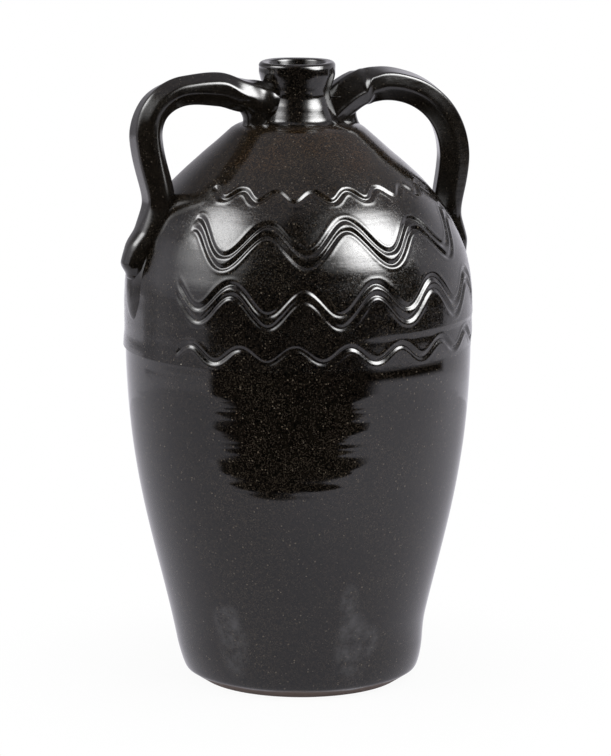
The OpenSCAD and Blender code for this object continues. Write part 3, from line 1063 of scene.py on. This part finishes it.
def along_direction(tree, place, direction):
    """How far a place or a look goes along a direction."""
    inputs = {0: place, 1: tuple(direction)}
    return node(tree, "ShaderNodeVectorMath", inputs, operation="DOT_PRODUCT").outputs["Value"]


table_paint = bpy.data.materials.new("table_paint")
table_paint.use_nodes = True
table_tree = table_paint.node_tree
table_tree.nodes.clear()
rays = table_tree.nodes.new("ShaderNodeLightPath").outputs
table_place = table_tree.nodes.new("ShaderNodeTexCoord").outputs["Object"]
table_far = node(table_tree, "ShaderNodeVectorMath", {0: table_place}, operation="LENGTH").outputs["Value"]
table_side = along_direction(table_tree, table_place, bright_right * rightward + bright_front * toward)
# Seen by the camera the table glows white with a painted shadow round the jug; a small share of the lit paint
# there keeps the jug's real shadow
seen_with_painted_shadow = calc(table_tree, "MAXIMUM", rays["Is Camera Ray"], rays["Is Transmission Ray"])
seen_with_painted_shadow = calc(table_tree, "MULTIPLY", seen_with_painted_shadow, soft_range(table_tree, table_far, *shade_span, shade_level, 1.0))
white_share = calc(table_tree, "MAXIMUM", seen_with_painted_shadow, rays["Is Glossy Ray"])
# Painted light and shade: in the glaze's mirror image the table glows darker to the left and behind, brighter
# to the right and the front
painted_mirror_level = soft_range(table_tree, table_side, *mirror_span, *painted_mirror_levels)
glow_level = between(table_tree, rays["Is Glossy Ray"], 1.0, painted_mirror_level)
glow_tint = mixed(table_tree, rays["Is Glossy Ray"], pure_white, mirror_tint)
painted = node(table_tree, "ShaderNodeBsdfDiffuse", {"Color": table_white}).outputs[0]
white = node(table_tree, "ShaderNodeEmission", {"Color": glow_tint, "Strength": glow_level}).outputs[0]
table_mix = node(table_tree, "ShaderNodeMixShader", {0: white_share, 1: painted, 2: white}).outputs[0]
node(table_tree, "ShaderNodeOutputMaterial", {"Surface": table_mix})
table.data.materials.append(table_paint)

# Backdrop and room.
# A white backdrop that reaches further round on the left, where it is dimmer behind the jug. Its right edge
# slants, it fades towards the top, and a pale ceiling closes the room, which is dark behind the camera.
left_edge = cos(radians(62))
right_low_edge = cos(radians(111))
right_high_edge = cos(radians(90))
top_level = 0.42
left_level = 1.05
left_low_level = 0.66
left_mid_level = 0.42
left_foot_level = 1.0
left_back_level = 0.45
ceiling_level = 0.32
beyond_level = 1.2
room_fill = 0.50
# Spans of the look into the room, along the way to the camera, to the right or up, over which levels change
side_span = (-0.15, 0.15)
edge_span = (-0.05, 0.05)
slant_up = (0.05, 0.15)
left_mid_front = (-0.20, -0.40)
left_foot_up = (-0.198, -0.218)
left_low_up = (-0.06, 0.06)
above_table_up = (-0.15, -0.09)
low_end_front = (-0.50, -0.58)
high_end_front = (-0.25, -0.60)
top_up = (sin(radians(14)), sin(radians(34)))
beyond_front = (0.70, 0.50)
beyond_up = (-0.14, -0.22)
ceiling_up = (sin(radians(58)), sin(radians(80)))

world = bpy.data.worlds.new("studio")
bpy.context.scene.world = world
world.use_nodes = True
world_tree = world.node_tree
world_tree.nodes.clear()
world_rays = world_tree.nodes.new("ShaderNodeLightPath").outputs
mirror_ray = world_rays["Is Glossy Ray"]
look = world_tree.nodes.new("ShaderNodeTexCoord").outputs["Generated"]


def over(value, span, start=0.0, end=1.0):
    """A soft change from start to end over a span of the look."""
    return soft_range(world_tree, value, *span, start, end)


def turning(share, first, second):
    """A level that turns into another by a share."""
    return between(world_tree, share, first, second)


def product(first, second):
    """Two levels multiplied."""
    return calc(world_tree, "MULTIPLY", first, second)


def greater(first, second):
    """The greater of two levels."""
    return calc(world_tree, "MAXIMUM", first, second)


look_front = along_direction(world_tree, look, toward)
look_right = over(along_direction(world_tree, look, rightward), side_span)
look_up = along_direction(world_tree, look, (0, 0, 1))
right_edge = turning(over(look_up, slant_up), right_low_edge, right_high_edge)
edge_place = turning(look_right, left_edge, right_edge)
wall = over(calc(world_tree, "SUBTRACT", look_front, edge_place), edge_span, 1.0, 0.0)
low_wall = turning(over(look_front, left_mid_front), left_low_level, left_mid_level)
low_wall = turning(over(look_up, left_foot_up), low_wall, left_foot_level)
left_wall = turning(over(look_up, left_low_up), low_wall, left_level)
above_table = over(look_up, above_table_up)
left_end = turning(above_table, over(look_front, low_end_front), over(look_front, high_end_front))
left_wall = turning(left_end, left_wall, turning(above_table, 1.0, left_back_level))
wall = product(wall, turning(look_right, left_wall, 1.0))
wall = product(wall, over(look_up, top_up, 1.0, top_level))
beyond = product(look_right, over(look_front, beyond_front, 0.0, beyond_level))
beyond = product(beyond, over(look_up, beyond_up))
wall = greater(wall, beyond)
ceiling = over(look_up, ceiling_up, 0.0, ceiling_level)
open_view = greater(world_rays["Is Camera Ray"], world_rays["Is Transmission Ray"])
shown = greater(open_view, product(mirror_ray, greater(wall, ceiling)))
lit = product(calc(world_tree, "SUBTRACT", 1.0, greater(open_view, mirror_ray)), room_fill)
sky_level = calc(world_tree, "ADD", shown, lit)
sky_tint = mixed(world_tree, mirror_ray, pure_white, mirror_tint)
sky = node(world_tree, "ShaderNodeBackground", {"Color": sky_tint, "Strength": sky_level})
node(world_tree, "ShaderNodeOutputWorld", {"Surface": sky.outputs[0]})

# Soft boxes.
# Two boxes of white cloth stand beside the jug and show in the glaze, each brightest in its middle.
# A weaker and wider glow beside each of them lights the clay.
lamp_target = Vector((0, 0, 0.2))
cloth_middle = (0.5, 0.5, 0)
cloth_span = (0.12, 0.5)
# An area lamp's radiance is its power divided by four times its area
power_share = 4


def soft_box(name, side_turn, rise, distance, wide, tall, radiance, lights_clay):
    """A lamp that faces the jug, placed by its turn from the camera's side and its rise in degrees."""
    turn = view_turn + radians(side_turn)
    lift = radians(rise)
    lamp = bpy.data.lights.new(name, "AREA")
    lamp.shape = "RECTANGLE"
    lamp.size = wide
    lamp.size_y = tall
    lamp.energy = power_share * radiance * wide * tall
    lamp.use_nodes = True
    tree = lamp.node_tree
    cloth = tree.nodes.new("ShaderNodeNewGeometry").outputs["Parametric"]
    off_middle = node(tree, "ShaderNodeVectorMath", {0: cloth, 1: cloth_middle}, operation="DISTANCE")
    glow = soft_range(tree, off_middle.outputs["Value"], *cloth_span, 1.0, 0.0)
    tree.links.new(glow, tree.nodes["Emission"].inputs["Strength"])
    box = bpy.data.objects.new(name, lamp)
    bpy.context.scene.collection.objects.link(box)
    reach = Vector((sin(turn) * cos(lift), -cos(turn) * cos(lift), sin(lift))) * distance
    box.location = lamp_target + reach
    box.visible_diffuse = lights_clay
    box.rotation_euler = (-reach).to_track_quat("-Z", "Y").to_euler()


soft_box("right_box", 63, 39, distance=1.4, wide=1.65, tall=1.25, radiance=19, lights_clay=False)
soft_box("right_glow", 58, 42, distance=1.45, wide=2.4, tall=1.6, radiance=2.0, lights_clay=True)
soft_box("left_box", -73, 43, distance=1.4, wide=1.4, tall=0.90, radiance=9.6, lights_clay=False)
soft_box("left_glow", -68, 29, distance=1.45, wide=1.9, tall=1.4, radiance=2.4, lights_clay=True)

# Camera.
# It stands at the photograph's viewing angle, a little above the jug and to the left of its front.
# Its tilt and pan are in degrees, its lens and film in millimetres.
camera_far = 1.9
camera_z = 0.507
camera_tilt = 10.54
camera_pan = 0.113
camera_lens = 181.24
film_h = 36
camera = bpy.data.cameras.new("camera")
camera.sensor_fit = "VERTICAL"
camera.sensor_height = film_h
camera.lens = camera_lens
camera_object = bpy.data.objects.new("camera", camera)
bpy.context.scene.collection.objects.link(camera_object)
camera_object.location = toward * camera_far + Vector((0, 0, camera_z))
camera_object.rotation_euler = (radians(90 - camera_tilt), 0, view_turn - radians(camera_pan))
bpy.context.scene.camera = camera_object
bpy.context.scene.view_settings.view_transform = "Standard"
